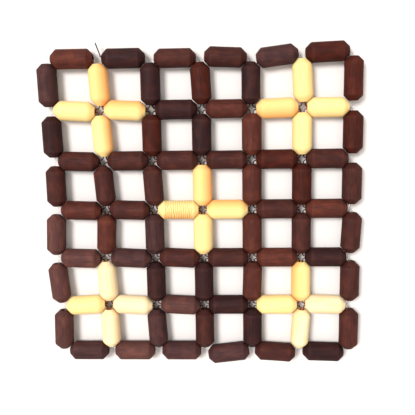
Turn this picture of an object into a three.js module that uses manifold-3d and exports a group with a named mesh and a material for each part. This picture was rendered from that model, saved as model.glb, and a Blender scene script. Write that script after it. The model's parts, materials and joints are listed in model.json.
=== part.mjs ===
// A drink coaster: an open square lattice of coned wooden beads, strung on clear line at right angles.
// Millimetres, +Z up. Rows run along X and are counted from the +Y edge, columns run along Y and are
// counted from the -X edge. The origin lies on the table under the middle of the lattice.
import * as THREE from "three";
import { mergeVertices } from "three/addons/utils/BufferGeometryUtils.js";
import Module from "manifold-3d";

// Driving dimensions
const cellsAcross = 6;
const cellsDown = 6;
const beadDiameter = 6.2;
const beadLength = 12.8;
const boreDiameter = 2;
const endLand = 0.12; // the flat ring left round the bore at each end
const mitreClearance = 0.4; // between the coned ends of two beads that meet at a right angle
const rowSlack = 0.15; // how much further apart the rows lie than the columns
const lineDiameter = 0.4;
const lineClearance = 0.35; // from a line by itself to the bore that it runs in
const lineGap = 0.2; // between the two lines that share an inner row bead
const lineRoot = 0.5; // how deep the line is set in a bead that it holds fast
const tailTuck = 4; // how far the tail runs back into its bead
const tailTurn = 0.7; // how far along and out it turns at the bead's mouth
const tailReach = 3.9; // how far it stands out past that turn
const tailLean = 20; // degrees, towards -X
const tailBead = 2; // the bead of the top edge that it comes out of

// Counts of flats
const beadSides = 12;
const lineSides = 4;
const tailSides = 8;

// Beads that sit off true on the slack line, by their number along an edge, a row or a column. These are of
// one lattice; a lattice with other counts of cells is strung true.
const slackAcross = 6;
const slackDown = 6;
// Aside in millimetres, rows to +Y and columns to +X
const asideOf = {
  top_edge: { 1: 0.1, 3: -0.2, 4: -0.2, 5: -0.1, 6: 0.8 },
  bottom_edge: { 4: -0.7, 5: -0.4, 6: -0.4 },
  left_edge: { 1: -0.9, 2: -0.3, 4: -0.8, 5: -0.6 },
  column_2: { 1: -0.4, 5: -0.3 },
  column_5: { 1: -0.2 },
  right_edge: { 1: -0.2, 4: 0.1 },
};
// Slid along their own line in millimetres, rows to +X and columns to +Y
const slideOf = {
  top_edge: { 1: -0.5, 2: -0.4, 6: -0.5 },
  row_2: { 1: -0.7, 2: -0.4 },
  row_5: { 1: -0.8 },
  bottom_edge: { 1: 0.4, 5: -0.6, 6: -0.5 },
  left_edge: { 5: -0.5, 6: -0.6 },
  column_2: { 5: 0.5 },
  column_5: { 1: -0.2 },
  column_6: { 1: 0.5, 6: -0.4 },
  right_edge: { 1: 0.7, 2: 0.4, 6: -0.4 },
};
// Lean in degrees, anticlockwise from above
const leanOf = {
  top_edge: { 4: -3, 5: 7, 6: 2 },
  row_2: { 1: -3, 2: -3, 5: 2 },
  row_3: { 1: -2 },
  row_4: { 1: -2, 2: -2 },
  row_5: { 1: -2, 2: -3, 3: -3 },
  row_6: { 1: 3, 2: -3, 3: -3, 6: -2 },
  bottom_edge: { 4: 7, 5: -4, 6: -2 },
  left_edge: { 1: 1, 2: 1, 4: -3, 5: 5, 6: -2 },
  column_2: { 1: 3, 2: 4, 3: 4, 4: -3, 5: 3, 6: 2 },
  column_3: { 3: 3, 6: 3 },
  column_4: { 1: 3 },
  column_5: { 5: -2 },
  column_6: { 1: 3, 6: -4 },
  right_edge: { 4: -3 },
};

// Sizes worked out from those
const rows = Math.round(cellsDown) + 1;
const columns = Math.round(cellsAcross) + 1;
const beadRadius = beadDiameter / 2;
const boreRadius = boreDiameter / 2;
const lineRadius = lineDiameter / 2;
const endRadius = boreRadius + endLand;
const coneLength = beadRadius - endRadius;
const endGap = 2 * endRadius + Math.SQRT2 * mitreClearance;
const columnPitch = beadLength + endGap;
const rowPitch = columnPitch + rowSlack;
const loneOffset = boreRadius - lineRadius - lineClearance;
const sharedOffset = lineRadius + lineGap / 2;
const axisHeight = beadRadius;

// The pattern: each pair is the row and the column of a crossing whose four beads are pale. One lies inside
// each corner of the border, and one in the middle.
const paleCrossings = [
  [2, 2],
  [2, columns - 1],
  [Math.round((rows + 1) / 2), Math.round((columns + 1) / 2)],
  [rows - 1, 2],
  [rows - 1, columns - 1],
];

// Finishes
const paleWood = new THREE.MeshStandardMaterial({ color: 0xf3dc93, roughness: 0.6, metalness: 0 });
const darkWood = new THREE.MeshStandardMaterial({ color: 0x5a322d, roughness: 0.45, metalness: 0 });
const clearLine = new THREE.MeshStandardMaterial({ color: 0xc9c9c4, roughness: 0.2, metalness: 0 });

const wasm = await Module();
wasm.setup();

function solidOf(geometry) {
  const bare = geometry.clone();
  bare.deleteAttribute("normal");
  bare.deleteAttribute("uv");
  const merged = mergeVertices(bare, 1e-4);
  return new wasm.Manifold(
    new wasm.Mesh({
      numProp: 3,
      vertProperties: merged.attributes.position.array,
      triVerts: new Uint32Array(merged.index.array),
    }),
  );
}

function geometryOf(solid) {
  const mesh = solid.getMesh();
  const geometry = new THREE.BufferGeometry();
  geometry.setAttribute("position", new THREE.BufferAttribute(mesh.vertProperties, 3));
  geometry.setIndex(new THREE.BufferAttribute(mesh.triVerts, 1));
  return geometry;
}

// A bead along Y. Its flats touch the round bead, and one of them lies flat underneath.
function beadGeometry(innerRadius) {
  const toCorner = 1 / Math.cos(Math.PI / beadSides);
  const half = beadLength / 2;
  const outline = [
    [innerRadius, -half],
    [endRadius, -half],
    [beadRadius, coneLength - half],
    [beadRadius, half - coneLength],
    [endRadius, half],
    [innerRadius, half],
  ];
  const profile = outline.map(([radius, along]) => new THREE.Vector2(radius * toCorner, along));
  if (innerRadius > 0) profile.push(profile[0].clone());
  return new THREE.LatheGeometry(profile, beadSides, Math.PI / beadSides);
}

const boredBead = beadGeometry(boreRadius);
const solidBead = beadGeometry(0);

// Places of the rows and the columns
const rowY = (row) => ((rows + 1) / 2 - row) * rowPitch;
const columnX = (column) => (column - (columns + 1) / 2) * columnPitch;

function rowPlace(row) {
  if (row === 1) return "top_edge";
  return row === rows ? "bottom_edge" : `row_${row}`;
}

function columnPlace(column) {
  if (column === 1) return "left_edge";
  return column === columns ? "right_edge" : `column_${column}`;
}

// How far a bead is off true in one of the tables
const isSlack = columns === slackAcross + 1 && rows === slackDown + 1;
const offTrue = (table, place, bead) => (isSlack ? (table[place]?.[bead] ?? 0) : 0);

// A direction in the plane of the lattice, turned anticlockwise from +X
const direction = (turn) => new THREE.Vector3(Math.cos(turn), Math.sin(turn), 0);

// A bead of a row. On the edges it carries one line, which leans with it. Inside it carries two, which lie
// straight along the row, so that each can swing round it when the strips on its two sides fold.
function rowBead(row, bead) {
  const place = rowPlace(row);
  const inner = row > 1 && row < rows;
  const turn = THREE.MathUtils.degToRad(offTrue(leanOf, place, bead));
  const lineTurn = inner ? 0 : turn;
  return {
    name: `row_${row}_bead_${bead}`,
    pale: paleCrossings.some(([r, c]) => r === row && (bead === c - 1 || bead === c)),
    centre: new THREE.Vector3(
      (columnX(bead) + columnX(bead + 1)) / 2 + offTrue(slideOf, place, bead),
      rowY(row) + offTrue(asideOf, place, bead),
      axisHeight,
    ),
    turnFromY: turn - Math.PI / 2,
    lineAlong: direction(lineTurn),
    lineAcross: direction(lineTurn + Math.PI / 2),
    lineOffset: inner ? sharedOffset : loneOffset,
  };
}

// An upright bead of a column, numbered by the strip of cells that it stands in
function columnBead(column, bead) {
  const place = columnPlace(column);
  const turn = THREE.MathUtils.degToRad(offTrue(leanOf, place, bead));
  return {
    name: `column_${column}_bead_${bead}`,
    pale: paleCrossings.some(([r, c]) => c === column && (bead === r - 1 || bead === r)),
    centre: new THREE.Vector3(
      columnX(column) + offTrue(asideOf, place, bead),
      (rowY(bead) + rowY(bead + 1)) / 2 + offTrue(slideOf, place, bead),
      axisHeight,
    ),
    turnFromY: turn,
    lineAlong: direction(turn + Math.PI / 2),
    lineAcross: direction(turn),
    lineOffset: loneOffset,
  };
}

// A point of the line in a bead's bore: end and side are -1 or 1 along and across the bead
function mouth(bead, end, side, depth = 0) {
  return bead.centre
    .clone()
    .addScaledVector(bead.lineAlong, end * (beadLength / 2 - depth))
    .addScaledVector(bead.lineAcross, side * bead.lineOffset);
}

// The middle of the turn from an upright bead's mouth to a row bead's mouth
function cornerTurn(uprightMouth, rowMouth) {
  const corner = new THREE.Vector3(uprightMouth.x, rowMouth.y, axisHeight);
  return uprightMouth.clone().add(rowMouth).addScaledVector(corner, 2).divideScalar(4);
}

// A path whose stations are just the points given
class StationPath extends THREE.Curve {
  constructor(points) {
    super();
    this.points = points;
  }
  getPointAt(u, target = new THREE.Vector3()) {
    return target.copy(this.points[Math.round(u * (this.points.length - 1))]);
  }
  getTangentAt(u, target = new THREE.Vector3()) {
    const here = Math.round(u * (this.points.length - 1));
    const point = this.points[here];
    const before = this.points[here - 1] ?? point;
    const after = this.points[here + 1] ?? point;
    const coming = point.clone().sub(before).normalize();
    const going = after.clone().sub(point).normalize();
    return target.addVectors(coming, going).normalize();
  }
}

function lineGeometry(points, sides) {
  const section = new THREE.Shape();
  for (let side = 0; side < sides; side += 1) {
    const angle = (2 * Math.PI * side) / sides;
    const x = lineRadius * Math.cos(angle);
    const y = lineRadius * Math.sin(angle);
    if (side === 0) section.moveTo(x, y);
    else section.lineTo(x, y);
  }
  section.closePath();
  const extrudePath = new StationPath(points);
  return new THREE.ExtrudeGeometry(section, { steps: points.length - 1, extrudePath });
}

// The line from one dark upright to the next along a strip of cells. It starts on the upper or the lower
// side (1 or -1), and changes sides through each pale upright that it meets on the way.
function linePoints(strip, firstColumn, firstSide) {
  let side = firstSide;
  let column = firstColumn;
  let upright = columnBead(column, strip);
  const points = [mouth(upright, side, 1, lineRoot)];
  for (;;) {
    const row = rowBead(side > 0 ? strip : strip + 1, column);
    const next = columnBead(column + 1, strip);
    const enter = mouth(row, -1, -side);
    const leave = mouth(row, 1, -side);
    points.push(cornerTurn(mouth(upright, side, 1), enter), enter, leave);
    points.push(cornerTurn(mouth(next, side, -1), leave));
    if (!next.pale) {
      points.push(mouth(next, side, -1, lineRoot));
      return points;
    }
    const middle = next.centre.clone();
    middle.z += side * next.lineOffset;
    points.push(mouth(next, side, -1), middle, mouth(next, -side, 1));
    side = -side;
    column += 1;
    upright = next;
  }
}

// A strip's line with the dark uprights that it holds fast, as one solid
function strungLine(strip) {
  const pieces = [];
  for (let column = 1; column <= columns; column += 1) {
    const upright = columnBead(column, strip);
    if (upright.pale) continue;
    const placed = solidBead.clone().rotateZ(upright.turnFromY).translate(...upright.centre.toArray());
    pieces.push(solidOf(placed));
    if (column === columns) continue;
    for (const side of [1, -1]) {
      pieces.push(solidOf(lineGeometry(linePoints(strip, column, side), lineSides)));
    }
  }
  return geometryOf(pieces.reduce((joined, piece) => joined.add(piece)));
}

// The tail: the line's end, run back through a bead of the top edge and standing out of its bore
function tailGeometry() {
  const bead = rowBead(1, tailBead);
  const tucked = mouth(bead, -1, 1, tailTuck);
  const atMouth = mouth(bead, -1, 1);
  const bend = atMouth.clone().add(new THREE.Vector3(-tailTurn, tailTurn, 0));
  const end = bend.clone().addScaledVector(direction(THREE.MathUtils.degToRad(90 + tailLean)), tailReach);
  return lineGeometry([tucked, atMouth, bend, end], tailSides);
}

const coaster = new THREE.Group();

function addMesh(name, geometry, material) {
  const mesh = new THREE.Mesh(geometry, material);
  mesh.name = name;
  coaster.add(mesh);
  return mesh;
}

function addBead(bead) {
  const mesh = addMesh(bead.name, boredBead, bead.pale ? paleWood : darkWood);
  mesh.position.copy(bead.centre);
  mesh.rotation.z = bead.turnFromY;
}

for (let row = 1; row <= rows; row += 1) {
  for (let bead = 1; bead < columns; bead += 1) addBead(rowBead(row, bead));
}
for (let strip = 1; strip < rows; strip += 1) {
  for (let column = 1; column <= columns; column += 1) {
    const upright = columnBead(column, strip);
    if (upright.pale) addBead(upright);
  }
  addMesh(`strung_line_${strip}`, strungLine(strip), darkWood);
}
addMesh("line_tail", tailGeometry(), clearLine);

export default coaster;
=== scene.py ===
"""A drink coaster of turned wooden beads on clear line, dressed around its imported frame."""
import json
import math
import random

import bmesh
import bpy
from mathutils import Matrix, Vector, geometry, noise


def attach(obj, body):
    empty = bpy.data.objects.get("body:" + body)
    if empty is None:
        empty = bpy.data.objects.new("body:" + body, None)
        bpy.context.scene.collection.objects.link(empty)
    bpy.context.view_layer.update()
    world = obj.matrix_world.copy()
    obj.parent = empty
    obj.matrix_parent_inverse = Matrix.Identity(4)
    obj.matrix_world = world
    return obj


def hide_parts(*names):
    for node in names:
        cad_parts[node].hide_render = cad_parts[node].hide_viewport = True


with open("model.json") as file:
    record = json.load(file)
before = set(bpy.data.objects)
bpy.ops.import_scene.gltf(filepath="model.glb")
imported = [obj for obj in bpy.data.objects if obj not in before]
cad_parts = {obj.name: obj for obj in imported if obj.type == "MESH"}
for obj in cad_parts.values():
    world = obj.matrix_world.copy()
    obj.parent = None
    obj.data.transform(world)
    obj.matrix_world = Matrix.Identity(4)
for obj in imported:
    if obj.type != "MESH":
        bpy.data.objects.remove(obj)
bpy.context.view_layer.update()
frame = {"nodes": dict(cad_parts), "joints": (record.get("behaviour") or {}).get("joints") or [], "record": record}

# Sizes in millimetres, as the beads are turned; the finished meshes are in metres
MM = 0.001
BEAD_RADIUS = 3.1
BEAD_LENGTH = 12.8
BORE_RADIUS = 1.0
END_RADIUS = 1.12
CONE_LENGTH = BEAD_RADIUS - END_RADIUS
AXIS_HEIGHT = BEAD_RADIUS
LINE_RADIUS = 0.2
LONE_OFFSET = 0.45  # a line by itself, from the middle of its bore
SHARED_OFFSET = 0.3  # each of two lines that share an inner row bead
TAIL_BEAD = "row_1_bead_2"
TAIL_TUCK = 4.0
TAIL_TURN = 0.7
TAIL_REACH = 3.9
TAIL_LEAN = 20.0
HAIR_GAP = 0.01  # left between two coned ends that meet
MOST_FILL = 0.42  # the most that a cone stands out past its plain form to meet its neighbour
FULL_END = 1.4  # the widest that an end is for that; past it the bead is longer instead
FILL_ROUNDS = 6
SLIM = 0.95  # of the full radius
DARK_SHOULDER = 0.3  # the rounding between barrel and cone
PALE_SHOULDER = 0.8
END_ROUND = 0.05
WORN_PAST = 0.15  # where the worn band lies past the shoulder, and how far it fades
WORN_FADE = 0.5
MOST_OVAL = 0.012  # of the radius, as the soft dips are
MOST_DIP = 0.012
DIP_SCALE = 0.28
FLOOR_HALF = 1.5  # metres
FIRST_SEED = 4100

# How fine the meshes are
TURNING_STEPS = 48
BARREL_CUTS = 9
ROUGH_BARREL_CUTS = 95
CONE_CUTS = 3
SHOULDER_STEPS = 4
END_STEPS = 2
LINE_SIDES = 10
CORNER_STEPS = 6

ROUGH_BEAD = "row_4_bead_3"
RING_PITCH = 0.62
RING_DEPTH = 0.2
RING_WANDER = 0.35
# Painted shade: the bottom of each torn ring on the rough bead is painted darker, in place of the shade that falls
# in its groove
PAINTED_RING_SHADE = 0.75  # how much darker the bottom of a torn ring is

# Dark beads whose stain took redder, a deep red, nearly black, a greyer plum, or thin and dusty
REDDER = {
    "row_1_bead_1", "row_2_bead_4", "row_4_bead_1", "row_4_bead_6", "row_5_bead_5", "column_2_bead_4",
    "column_5_bead_2", "column_5_bead_3", "column_5_bead_4", "column_5_bead_5",
}
DEEP_RED = {
    "row_1_bead_6", "row_3_bead_5", "column_3_bead_2", "column_4_bead_1",
    "column_6_bead_3", "column_7_bead_1", "column_7_bead_2",
}
BLACKER = {
    "row_1_bead_2", "row_2_bead_3", "row_5_bead_6", "row_6_bead_4", "row_7_bead_6", "column_1_bead_2",
    "column_3_bead_1", "column_3_bead_5", "column_4_bead_2", "column_4_bead_5", "column_5_bead_1",
    "column_5_bead_6",
}
PLUM = {
    "row_1_bead_5", "row_5_bead_2", "row_7_bead_1", "row_7_bead_3", "row_7_bead_4", "column_1_bead_1",
    "column_3_bead_4", "column_3_bead_6",
}
DUSTY = {
    "row_5_bead_1", "row_6_bead_3", "row_7_bead_2", "column_1_bead_4", "column_1_bead_5", "column_1_bead_6",
}
# Beads that were turned a little thinner
SLIMMER = {
    "row_1_bead_3", "row_2_bead_4", "row_3_bead_4", "column_5_bead_1", "column_6_bead_6", "column_7_bead_1",
}
# Pale beads that are more golden all over, and ones that are paler
GOLDEN = {"column_2_bead_1", "column_4_bead_3", "row_2_bead_5"}
PALER = {"column_2_bead_5", "column_2_bead_6", "column_6_bead_6", "row_6_bead_2", "row_6_bead_6"}
PLAIN_PALE = (0.69, 0.52, 0.215)
PLAIN_DARK = (0.0345, 0.0092, 0.0075)
STAINS = [
    (GOLDEN, (0.69, 0.43, 0.165)), (PALER, (0.67, 0.54, 0.33)), (REDDER, (0.051, 0.0126, 0.0086)),
    (DEEP_RED, (0.033, 0.0055, 0.0029)), (BLACKER, (0.018, 0.0055, 0.0057)),
    (PLUM, (0.036, 0.0142, 0.0145)), (DUSTY, (0.058, 0.022, 0.0195)),
]
# Pale beads with an orange side: degrees round the bead from its top, towards +Y on rows and +X on columns
WARM_SIDE = {
    "row_2_bead_2": 60, "row_2_bead_5": -60, "row_4_bead_3": -65, "row_4_bead_4": 65,
    "column_2_bead_1": 65, "column_2_bead_2": 80, "column_4_bead_3": 65, "column_6_bead_5": -65,
}


# Finishes
def new_finish(name):
    material = bpy.data.materials.new(name)
    material.use_nodes = True
    return material, material.node_tree, material.node_tree.nodes["Principled BSDF"]


def read_attribute(tree, name, output="Fac"):
    node = tree.nodes.new("ShaderNodeAttribute")
    node.attribute_name = name
    return node.outputs[output]


def stretched(tree, vector, scale):
    node = tree.nodes.new("ShaderNodeMapping")
    node.inputs["Scale"].default_value = scale
    tree.links.new(vector, node.inputs["Vector"])
    return node.outputs["Vector"]


def speckle(tree, vector, scale, detail=4.0, rough=0.55):
    node = tree.nodes.new("ShaderNodeTexNoise")
    node.inputs["Scale"].default_value = scale
    node.inputs["Detail"].default_value = detail
    node.inputs["Roughness"].default_value = rough
    tree.links.new(vector, node.inputs["Vector"])
    return node.outputs["Fac"]


def between(tree, value, low, high, to_low=0.0, to_high=1.0):
    node = tree.nodes.new("ShaderNodeMapRange")
    node.interpolation_type = "SMOOTHSTEP"
    sockets = ("From Min", "From Max", "To Min", "To Max")
    for socket, number in zip(sockets, (low, high, to_low, to_high)):
        node.inputs[socket].default_value = number
    tree.links.new(value, node.inputs["Value"])
    return node.outputs["Result"]


def times(tree, first, second):
    node = tree.nodes.new("ShaderNodeMath")
    node.operation = "MULTIPLY"
    for socket, value in zip(node.inputs, (first, second)):
        if isinstance(value, (int, float)):
            socket.default_value = value
        else:
            tree.links.new(value, socket)
    return node.outputs[0]


def layered(tree, factor, under, over, blend="MIX"):
    node = tree.nodes.new("ShaderNodeMix")
    node.data_type = "RGBA"
    node.blend_type = blend
    tree.links.new(factor, node.inputs["Factor"])
    for socket, value in ((node.inputs[6], under), (node.inputs[7], over)):
        if isinstance(value, tuple):
            socket.default_value = (*value, 1.0)
        else:
            tree.links.new(value, socket)
    return node.outputs[2]


def raised(tree, shader, height, strength, distance):
    node = tree.nodes.new("ShaderNodeBump")
    node.inputs["Strength"].default_value = strength
    node.inputs["Distance"].default_value = distance
    tree.links.new(height, node.inputs["Height"])
    tree.links.new(node.outputs["Normal"], shader.inputs["Normal"])


def dark_wood_finish():
    material, tree, shader = new_finish("dark_wood")
    grain = read_attribute(tree, "grain", "Vector")
    fibre = speckle(tree, stretched(tree, grain, (3.2, 3.2, 0.16)), 1.0, 6.0, 0.62)
    cloud = speckle(tree, stretched(tree, grain, (0.4, 0.4, 0.24)), 1.0, 3.0)
    pore = speckle(tree, stretched(tree, grain, (9.0, 9.0, 0.6)), 1.0, 2.0)
    stain = read_attribute(tree, "tint", "Color")
    colour = layered(tree, between(tree, cloud, 0.4, 0.7), stain, (1.6, 1.5, 1.25), "MULTIPLY")
    darker = between(tree, fibre, 0.46, 0.74, 0.0, 0.75)
    colour = layered(tree, darker, colour, (0.3, 0.38, 0.44), "MULTIPLY")
    colour = layered(tree, between(tree, pore, 0.62, 0.8, 0.0, 0.6), colour, (0.0061, 0.003, 0.003))
    rubbed = times(tree, read_attribute(tree, "worn"), 0.14)
    colour = layered(tree, rubbed, colour, (0.067, 0.023, 0.0146))
    colour = layered(tree, read_attribute(tree, "end_grain"), colour, (0.05, 0.02, 0.014))
    tree.links.new(colour, shader.inputs["Base Color"])
    tree.links.new(between(tree, fibre, 0.3, 0.7, 0.58, 0.74), shader.inputs["Roughness"])
    shader.inputs["Specular IOR Level"].default_value = 0.1
    raised(tree, shader, fibre, 0.25, 0.00008)
    return material


def pale_wood_finish():
    material, tree, shader = new_finish("pale_wood")
    grain = read_attribute(tree, "grain", "Vector")
    fibre = speckle(tree, stretched(tree, grain, (2.6, 2.6, 0.12)), 1.0, 6.0, 0.6)
    cloud = speckle(tree, stretched(tree, grain, (0.4, 0.4, 0.12)), 1.0, 3.0)
    fleck = speckle(tree, stretched(tree, grain, (8.0, 8.0, 0.9)), 1.0, 2.0)
    bare = read_attribute(tree, "tint", "Color")
    colour = layered(tree, between(tree, cloud, 0.4, 0.75, 0.0, 0.5), bare, (0.68, 0.45, 0.165))
    colour = layered(tree, between(tree, fibre, 0.5, 0.8, 0.0, 0.4), colour, (0.66, 0.41, 0.14))
    colour = layered(tree, between(tree, fleck, 0.64, 0.8, 0.0, 0.3), colour, (0.45, 0.2, 0.06))
    colour = layered(tree, read_attribute(tree, "warm"), colour, (0.69, 0.33, 0.1))
    # Painted shade: darker at the bottom of each torn ring, for the shade in its groove
    torn = between(tree, read_attribute(tree, "groove"), 0.35, 0.95, 0.0, PAINTED_RING_SHADE)
    colour = layered(tree, torn, colour, (0.28, 0.38, 0.42), "MULTIPLY")
    colour = layered(tree, read_attribute(tree, "end_grain"), colour, (0.5, 0.25, 0.09))
    tree.links.new(colour, shader.inputs["Base Color"])
    tree.links.new(between(tree, fibre, 0.3, 0.7, 0.55, 0.7), shader.inputs["Roughness"])
    shader.inputs["Specular IOR Level"].default_value = 0.12
    raised(tree, shader, fibre, 0.2, 0.00008)
    return material


def clear_line_finish():
    material, tree, shader = new_finish("clear_line")
    along = read_attribute(tree, "grain", "Vector")
    scuff = speckle(tree, stretched(tree, along, (2.0, 2.0, 2.0)), 1.0, 3.0)
    tree.links.new(between(tree, scuff, 0.4, 0.7, 0.12, 0.28), shader.inputs["Roughness"])
    tint = read_attribute(tree, "tint", "Color")
    tree.links.new(
        layered(tree, between(tree, scuff, 0.35, 0.65, 0.0, 0.15), tint, (0.3, 0.28, 0.26)),
        shader.inputs["Base Color"],
    )
    shader.inputs["Transmission Weight"].default_value = 0.95
    shader.inputs["IOR"].default_value = 1.12
    return material


def floor_finish():
    material, tree, shader = new_finish("floor_paper")
    place = tree.nodes.new("ShaderNodeTexCoord").outputs["Object"]
    cloud = speckle(tree, place, 6.0, 2.0)
    colour = layered(tree, cloud, (0.58, 0.552, 0.535), (0.6, 0.572, 0.555))
    tree.links.new(colour, shader.inputs["Base Color"])
    shader.inputs["Roughness"].default_value = 0.9
    shader.inputs["Specular IOR Level"].default_value = 0.1
    return material


DARK_WOOD = dark_wood_finish()
PALE_WOOD = pale_wood_finish()
CLEAR_LINE = clear_line_finish()


# Where the beads lie, in millimetres, from the frame
class Bead:
    def __init__(self, name, body, node, centre, along, pale):
        self.name = name
        self.body = body
        self.node = node
        self.centre = centre
        self.along = along.normalized()
        self.across = Vector((0, 0, 1)).cross(self.along)
        if name.startswith("column"):
            self.across = -self.across
        self.pale = pale
        self.line_along = self.along
        self.line_across = self.across
        self.line_offset = LONE_OFFSET


slot_of = {part["node"]: part["material_slot"] for part in frame["record"]["subparts"]}
spins = {joint["child"]: joint for joint in frame["joints"] if joint["name"].endswith("_spin")}
beads = {}
for name, joint in spins.items():
    centre = Vector(joint["pos_m"]) / MM
    beads[name] = Bead(name, name, name, centre, Vector(joint["axis"]), slot_of[name] == "pale_wood")

ROWS = max(int(name.split("_")[1]) for name in beads if name.startswith("row"))
CELLS_ACROSS = max(int(name.split("_")[3]) for name in beads if name.startswith("row"))
COLUMNS = CELLS_ACROSS + 1
STRIPS = ROWS - 1
column_pitch = beads["row_3_bead_5"].centre.x - beads["row_3_bead_4"].centre.x
row_pitch = beads["row_3_bead_4"].centre.y - beads["row_4_bead_4"].centre.y


def column_x(column):
    return (column - (COLUMNS + 1) / 2) * column_pitch


# The dark uprights are one solid with their strip's line, so their places are read from its corners
def strung_upright(strip, column):
    node = f"strung_line_{strip}"
    found = set()
    for vertex in frame["nodes"][node].data.vertices:
        point = vertex.co / MM
        in_column = abs(point.x - column_x(column)) < 0.4 * column_pitch
        if in_column and abs(point.z - AXIS_HEIGHT) > 0.4 * BEAD_RADIUS:
            found.add(tuple(round(value, 3) for value in point))
    corners = [Vector(point) for point in sorted(found)]
    centre = sum(corners, Vector()) / len(corners)
    upper = [point for point in corners if point.y > centre.y]
    lower = [point for point in corners if point.y <= centre.y]
    along = sum(upper, Vector()) / len(upper) - sum(lower, Vector()) / len(lower)
    centre.z = AXIS_HEIGHT
    along.z = 0
    return Bead(f"column_{column}_bead_{strip}", f"strip_{strip}", node, centre, along, False)


for strip in range(1, STRIPS + 1):
    for column in range(1, COLUMNS + 1):
        name = f"column_{column}_bead_{strip}"
        if name not in beads:
            beads[name] = strung_upright(strip, column)
for name, bead in beads.items():
    row = int(name.split("_")[1])
    if name.startswith("row") and 1 < row < ROWS:
        bead.line_along = Vector((1, 0, 0))
        bead.line_across = Vector((0, 1, 0))
        bead.line_offset = SHARED_OFFSET


# How far each coned end fills the mitre to its neighbours
def cone_side(bead, end, towards):
    """The outline of a coned end in the plane of the lattice, on the side of the point given."""
    side = 1 if bead.across.dot(towards - bead.centre) > 0 else -1
    tip = bead.centre + bead.along * end * BEAD_LENGTH / 2
    foot = tip - bead.along * end * CONE_LENGTH
    return tip + bead.across * side * END_RADIUS, foot + bead.across * side * BEAD_RADIUS


def apart(first, second):
    """The least distance between two straight sides that don't cross."""
    gaps = []
    for corners, side in ((first, second), (second, first)):
        for corner in corners:
            share = geometry.intersect_point_line(corner, *side)[1]
            gaps.append((side[0].lerp(side[1], min(1.0, max(0.0, share))) - corner).length)
    return min(gaps)


def mitre_gap(first, first_end, second, second_end):
    first_side = cone_side(first, first_end, second.centre)
    return apart(first_side, cone_side(second, second_end, first.centre))


def laid_true(bead, row):
    """The same bead, set straight along its row."""
    centre = Vector((bead.centre.x, ((ROWS + 1) / 2 - row) * row_pitch, AXIS_HEIGHT))
    return Bead(bead.name, bead.body, bead.node, centre, Vector((1, 0, 0)), bead.pale)


# Each pair of ends that meet, with the gap between their plain forms
meetings = []
for row in range(1, ROWS + 1):
    for column in range(1, COLUMNS + 1):
        lying = [(f"row_{row}_bead_{column - 1}", 1), (f"row_{row}_bead_{column}", -1)]
        upright = [(f"column_{column}_bead_{row - 1}", -1), (f"column_{column}_bead_{row}", 1)]
        for one in lying:
            for other in upright:
                if one[0] not in beads or other[0] not in beads:
                    continue
                first, second = beads[one[0]], beads[other[0]]
                gap = mitre_gap(first, one[1], second, other[1])
                # Folded to a right angle, the upright meets a row bead as if that lay true along its row
                if 1 < row < ROWS:
                    gap = min(gap, mitre_gap(laid_true(first, row), one[1], second, other[1]))
                meetings.append((one, other, gap))
        # Two uprights in line come to meet in the same way when the strips fold to a right angle
        if all(name in beads for name, _ in upright):
            above, below = (beads[name] for name, _ in upright)
            apart_in_line = above.centre.y - below.centre.y - BEAD_LENGTH - 2 * END_RADIUS
            meetings.append((*upright, apart_in_line / math.sqrt(2)))
fill = {end: MOST_FILL for meeting in meetings for end in meeting[:2]}
for one, other, gap in meetings:
    for end in (one, other):
        fill[end] = max(0.0, min(fill[end], (gap - HAIR_GAP) / 2))
# What one end can't take because of its other neighbour, the end across from it takes
for _ in range(FILL_ROUNDS):
    for end in sorted(fill):
        room = [
            gap - HAIR_GAP - fill[one] - fill[other]
            for one, other, gap in meetings
            if end in (one, other)
        ]
        fill[end] = min(MOST_FILL, fill[end] + max(0.0, min(room)))


# Beads, turned on a lathe
def ring_edges(mesh, along, radius):
    def on_ring(vertex):
        return abs(vertex.co.z - along) < 1e-3 and abs(vertex.co.xy.length - radius) < 1e-3

    return [edge for edge in mesh.edges if all(on_ring(vertex) for vertex in edge.verts)]


def rounded(mesh, edges, offset, segments):
    bmesh.ops.bevel(
        mesh, geom=edges, offset=offset, affect="EDGES", segments=segments, profile=0.5, material=-1,
    )


def end_form(bead, end):
    """The radius of a bead's end and how far it lies from the middle."""
    growth = math.sqrt(2) * fill[bead.name, end]
    radius = min(FULL_END, END_RADIUS + growth)
    return radius, BEAD_LENGTH / 2 + growth - (radius - END_RADIUS)


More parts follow.
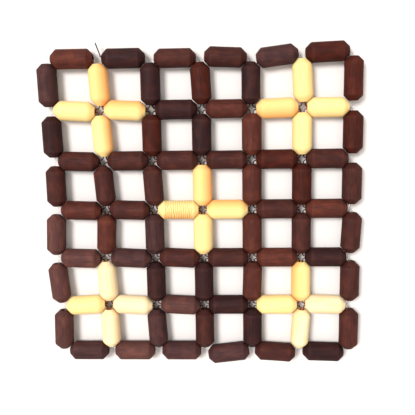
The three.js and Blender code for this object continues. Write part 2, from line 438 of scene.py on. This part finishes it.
def turned_bead(radius, low_end, high_end, shoulder_round, cuts):
    """A bored bead along Z, in millimetres, with the forms of its ends at -Z and at +Z."""
    low, low_reach = low_end
    high, high_reach = high_end
    low_shoulder = radius - low - low_reach
    high_shoulder = high_reach - radius + high
    outline = [
        (BORE_RADIUS, -low_reach), (low, -low_reach), (radius, low_shoulder),
        (radius, high_shoulder), (high, high_reach), (BORE_RADIUS, high_reach),
    ]
    mesh = bmesh.new()
    corners = [mesh.verts.new((across, 0, along)) for across, along in outline]
    sides = [mesh.edges.new(pair) for pair in zip(corners, corners[1:] + corners[:1])]
    bmesh.ops.spin(
        mesh, geom=corners + sides, axis=(0, 0, 1), cent=(0, 0, 0), angle=math.tau,
        steps=TURNING_STEPS, use_merge=True,
    )
    bmesh.ops.remove_doubles(mesh, verts=mesh.verts, dist=1e-4)
    bmesh.ops.recalc_face_normals(mesh, faces=mesh.faces)
    shoulders = ring_edges(mesh, low_shoulder, radius) + ring_edges(mesh, high_shoulder, radius)
    rounded(mesh, shoulders, shoulder_round, SHOULDER_STEPS)
    for along, end_radius in ((-low_reach, low), (high_reach, high)):
        rims = ring_edges(mesh, along, end_radius) + ring_edges(mesh, along, BORE_RADIUS)
        rounded(mesh, rims, END_ROUND, END_STEPS)
    # The long edges of the barrel, and the slanting ones of the cones
    barrel = []
    cones = []
    for edge in mesh.edges:
        reaches = [vertex.co.xy.length for vertex in edge.verts]
        if min(reaches) > 0.95 * radius and edge.calc_length() > BEAD_LENGTH / 4:
            barrel.append(edge)
        elif max(reaches) - min(reaches) > 0.4:
            cones.append(edge)
    bmesh.ops.subdivide_edges(mesh, edges=barrel, cuts=cuts, use_grid_fill=True)
    bmesh.ops.subdivide_edges(mesh, edges=cones, cuts=CONE_CUTS, use_grid_fill=True)
    return mesh


def weather(mesh, draw, radius):
    """Out of round a little, with soft flats and dips."""
    oval_turn = draw.uniform(0, math.pi)
    oval = draw.uniform(0.0, MOST_OVAL)
    drift = Vector([draw.uniform(0, 400) for _ in range(3)])
    shoulder = BEAD_LENGTH / 2 - CONE_LENGTH
    for vertex in mesh.verts:
        # Only the barrel, so that the coned ends still meet
        share = max(0.0, min(1.0, shoulder - abs(vertex.co.z)))
        if vertex.co.xy.length > 0.9 * radius:
            angle = math.atan2(vertex.co.y, vertex.co.x)
            squeeze = oval * (0.5 + 0.5 * math.cos(2 * (angle - oval_turn)))
            dip = MOST_DIP * (0.5 + 0.5 * noise.noise(vertex.co * DIP_SCALE + drift))
            vertex.co.xy *= 1 - share * (squeeze + dip)
    return drift


def roughen(mesh, drift, radius):
    """Torn rings left by a blunt tool, and how deep each corner lies in them."""
    shoulder = BEAD_LENGTH / 2 - CONE_LENGTH
    groove = mesh.verts.layers.float.new("groove")
    for vertex in mesh.verts:
        if vertex.co.xy.length > 0.9 * radius and abs(vertex.co.z) < shoulder:
            wander = noise.noise(vertex.co * 0.6 + drift)
            ring = 0.5 + 0.5 * math.cos((vertex.co.z + RING_WANDER * wander) * math.tau / RING_PITCH)
            along_fibre = Vector((vertex.co.x * 0.8, vertex.co.y * 0.8, vertex.co.z * 6))
            fur = 0.5 + 0.5 * noise.noise(along_fibre + drift)
            vertex[groove] = 0.6 * ring + 0.4 * fur
            vertex.co.xy *= 1 - RING_DEPTH / radius * vertex[groove]


def mark_finish(mesh, drift, radius, tint, warm_angle, warm_strength):
    """Each corner's place in the grain, its stain, and how worn, warm or burnt by the drill it is."""
    grain = mesh.verts.layers.float_vector.new("grain")
    worn = mesh.verts.layers.float.new("worn")
    ends = mesh.verts.layers.float.new("end_grain")
    warm = mesh.verts.layers.float.new("warm")
    stain = mesh.verts.layers.float_color.new("tint")
    groove = mesh.verts.layers.float.get("groove")
    shoulder = BEAD_LENGTH / 2 - CONE_LENGTH
    for vertex in mesh.verts:
        reach = vertex.co.xy.length
        vertex[grain] = vertex.co + drift
        by_shoulder = max(0.0, 1 - abs(abs(vertex.co.z) - shoulder - WORN_PAST) / WORN_FADE)
        vertex[worn] = by_shoulder if reach > 0.8 * radius else 0.0
        vertex[ends] = 1.0 if reach < 1.03 * BORE_RADIUS else 0.0
        turn = math.atan2(vertex.co.y, vertex.co.x) - warm_angle
        vertex[warm] = warm_strength * max(0.0, math.cos(turn)) ** 1.5
        # Painted shade: on the rough bead the bottom of each torn ring is also painted oranger, as shaded pale
        # wood looks
        if groove:
            vertex[warm] = min(1.0, vertex[warm] * (0.5 + vertex[groove]) + 0.4 * vertex[groove] ** 2)
        vertex[stain] = (*tint, 1.0)


def place_of(bead):
    """From the lathe to the lattice: Z along the bead, X up, and the metre for the millimetre."""
    up = Vector((0, 0, 1))
    columns = (up, bead.across, bead.along)
    turn = Matrix([[column[axis] for column in columns] for axis in range(3)]).to_4x4()
    return Matrix.Scale(MM, 4) @ Matrix.Translation(bead.centre) @ turn


def finished_piece(name, mesh, material, smooth=True):
    data = bpy.data.meshes.new(name)
    mesh.to_mesh(data)
    mesh.free()
    for face in data.polygons:
        face.use_smooth = smooth
    data.materials.append(material)
    piece = bpy.data.objects.new(name, data)
    bpy.context.scene.collection.objects.link(piece)
    return piece


def stain_of(bead, draw):
    base = PLAIN_PALE if bead.pale else PLAIN_DARK
    for names, colour in STAINS:
        if bead.name in names:
            base = colour
    lift = draw.uniform(0.97, 1.03) if bead.pale else draw.uniform(0.9, 1.1)
    return tuple(value * lift for value in base)


def make_bead(bead, number):
    draw = random.Random(FIRST_SEED + number)
    radius = BEAD_RADIUS * draw.uniform(0.99, 1.0) * (SLIM if bead.name in SLIMMER else 1.0)
    rough = bead.name == ROUGH_BEAD
    shoulder_round = PALE_SHOULDER if bead.pale else DARK_SHOULDER
    cuts = ROUGH_BARREL_CUTS if rough else BARREL_CUTS
    mesh = turned_bead(radius, end_form(bead, -1), end_form(bead, 1), shoulder_round, cuts)
    tint = stain_of(bead, draw)
    warm_angle = math.radians(WARM_SIDE.get(bead.name, draw.uniform(-90, 90)))
    warm_strength = 0.9 if bead.name in WARM_SIDE else draw.uniform(0.0, 0.25)
    drift = weather(mesh, draw, radius)
    if rough:
        roughen(mesh, drift, radius)
    mark_finish(mesh, drift, radius, tint, warm_angle, warm_strength)
    bmesh.ops.transform(mesh, matrix=place_of(bead), verts=mesh.verts)
    bmesh.ops.recalc_face_normals(mesh, faces=mesh.faces)
    piece = finished_piece(f"wooden_{bead.name}", mesh, PALE_WOOD if bead.pale else DARK_WOOD)
    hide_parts(bead.node)
    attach(piece, bead.body)


for number, name in enumerate(sorted(beads)):
    make_bead(beads[name], number)


# Line, two strands to a strip, crossing in each upright
CLEAR = (0.97, 0.965, 0.96)
# Painted dark: the cut tail, standing in for the dark edges that refraction gives a clear line against a bright
# floor
TAIL_PAINTED_DARK = (0.06, 0.055, 0.05)
# Painted shade on the line at the crossings inside the border: dark grey among dark beads, red-brown beside pale
# beads for their reflected colour
LINE_PAINTED_SHADE_BY_PALE = (0.42, 0.15, 0.08)
LINE_PAINTED_SHADE_BY_DARK = (0.16, 0.08, 0.06)


def mouth(bead, end, side, depth=0.0):
    """A point of the line in a bead's bore: end and side are -1 or 1 along and across the bead."""
    along = bead.line_along * end * (BEAD_LENGTH / 2 - depth)
    return bead.centre + along + bead.line_across * side * bead.line_offset


def curve_round(start, corner, end):
    steps = [step / CORNER_STEPS for step in range(1, CORNER_STEPS)]
    return [(1 - t) ** 2 * start + 2 * t * (1 - t) * corner + t * t * end for t in steps]


def round_corner(upright_mouth, row_mouth):
    return curve_round(upright_mouth, Vector((upright_mouth.x, row_mouth.y, AXIS_HEIGHT)), row_mouth)


def middle_of(upright, side):
    return upright.centre + Vector((0, 0, side * upright.line_offset))


def strand(strip, first_side):
    """One of a strip's two strands, from its first upright to its last, crossing over in each."""
    side = first_side
    upright = beads[f"column_1_bead_{strip}"]
    points = [middle_of(upright, side)]
    for column in range(1, COLUMNS):
        row = beads[f"row_{strip if side > 0 else strip + 1}_bead_{column}"]
        following = beads[f"column_{column + 1}_bead_{strip}"]
        leaving, entering = mouth(upright, side, 1), mouth(following, side, -1)
        row_start, row_end = mouth(row, -1, -side), mouth(row, 1, -side)
        points += [leaving, *round_corner(leaving, row_start), row_start]
        points += [row_end, *reversed(round_corner(entering, row_end)), entering]
        points.append(middle_of(following, side))
        upright = following
        side = -side
    return points


def tube_along(mesh, points):
    """A round line through the points, closed at both ends."""
    heading = (points[1] - points[0]).normalized()
    circle = bmesh.ops.create_circle(mesh, cap_ends=True, radius=LINE_RADIUS, segments=LINE_SIDES)
    ring = circle["verts"]
    facing = Vector((0, 0, 1)).rotation_difference(heading).to_matrix().to_4x4()
    bmesh.ops.transform(mesh, matrix=Matrix.Translation(points[0]) @ facing, verts=ring)
    face = ring[0].link_faces[0]
    for number, (here, there) in enumerate(zip(points, points[1:])):
        after = points[number + 2] if number + 2 < len(points) else 2 * there - here
        new_heading = ((there - here).normalized() + (after - there).normalized()).normalized()
        grown = bmesh.ops.extrude_face_region(mesh, geom=[face])["geom"]
        if number > 0:
            bmesh.ops.delete(mesh, geom=[face], context="FACES_ONLY")
        face = next(item for item in grown if isinstance(item, bmesh.types.BMFace))
        turn = heading.rotation_difference(new_heading).to_matrix().to_4x4()
        moved = Matrix.Translation(there) @ turn @ Matrix.Translation(-here)
        bmesh.ops.transform(mesh, matrix=moved, verts=face.verts)
        heading = new_heading


def line_painted_shade(point):
    """Clear on the border; at the crossings inside it darkened with painted shade, dark grey among dark beads and
    red-brown among pale ones, where it also stands for the pale wood's reflected colour.
    """
    column = round(point.x / column_pitch + (COLUMNS + 1) / 2)
    row = round((ROWS + 1) / 2 - point.y / row_pitch)
    if row <= 1 or row >= ROWS or column <= 1 or column >= COLUMNS:
        return CLEAR
    around = [beads[f"row_{row}_bead_{column - 1}"], beads[f"row_{row}_bead_{column}"]]
    return LINE_PAINTED_SHADE_BY_PALE if all(bead.pale for bead in around) else LINE_PAINTED_SHADE_BY_DARK


def make_line(name, routes, body, node, tint_at):
    mesh = bmesh.new()
    for points in routes:
        tube_along(mesh, points)
    bmesh.ops.recalc_face_normals(mesh, faces=mesh.faces)
    grain = mesh.verts.layers.float_vector.new("grain")
    tint = mesh.verts.layers.float_color.new("tint")
    for vertex in mesh.verts:
        vertex[grain] = vertex.co
        vertex[tint] = (*tint_at(vertex.co), 1.0)
    bmesh.ops.transform(mesh, matrix=Matrix.Scale(MM, 4), verts=mesh.verts)
    piece = finished_piece(name, mesh, CLEAR_LINE)
    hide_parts(node)
    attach(piece, body)


for strip in range(1, STRIPS + 1):
    routes = [strand(strip, 1), strand(strip, -1)]
    make_line(f"clear_line_{strip}", routes, f"strip_{strip}", f"strung_line_{strip}", line_painted_shade)


def tail_route():
    bead = beads[TAIL_BEAD]
    at_mouth = mouth(bead, -1, 1)
    bend = at_mouth + Vector((-TAIL_TURN, TAIL_TURN, 0))
    lean = math.radians(90 + TAIL_LEAN)
    end = bend + TAIL_REACH * Vector((math.cos(lean), math.sin(lean), 0))
    corner = at_mouth + Vector((-TAIL_TURN, 0, 0))
    return [mouth(bead, -1, 1, TAIL_TUCK), at_mouth, *curve_round(at_mouth, corner, bend), bend, end]


# The tail is painted dark grey in place of the clear line's refracted dark edges
make_line("cut_tail", [tail_route()], "strip_1", "line_tail", lambda point: TAIL_PAINTED_DARK)


# Floor
floor_mesh = bmesh.new()
bmesh.ops.create_grid(floor_mesh, x_segments=1, y_segments=1, size=FLOOR_HALF)
finished_piece("floor", floor_mesh, floor_finish(), smooth=False)


# Light: a soft steep lamp from the upper left, and warm white all round
scene = bpy.context.scene
world = bpy.data.worlds.new("white_room")
world.use_nodes = True
world.node_tree.nodes["Background"].inputs["Color"].default_value = (1.0, 0.94, 0.9, 1.0)
world.node_tree.nodes["Background"].inputs["Strength"].default_value = 1.25
scene.world = world
lamp = bpy.data.lights.new("window", "SUN")
lamp.energy = 4.0
lamp.angle = math.radians(20)
window = bpy.data.objects.new("window", lamp)
window.rotation_euler = Vector((0.42, -0.32, -1.0)).to_track_quat("-Z", "Y").to_euler()
scene.collection.objects.link(window)
scene.view_settings.view_transform = "Standard"

# Camera
EYE = Vector((9.21, 31.04, 187.9)) * MM
AIM = Vector((1.47, 0.61, 3.1)) * MM
ROLL = math.radians(0.9)
camera_data = bpy.data.cameras.new("camera")
camera_data.lens = 51.07
camera_data.sensor_width = 36.0
camera_data.clip_start = 0.01
camera = bpy.data.objects.new("camera", camera_data)
back = (EYE - AIM).normalized()
right = Vector((math.sin(ROLL), math.cos(ROLL), 0)).cross(back).normalized()
up = back.cross(right)
camera.matrix_world = Matrix.Translation(EYE) @ Matrix((right, up, back)).transposed().to_4x4()
scene.collection.objects.link(camera)
scene.camera = camera
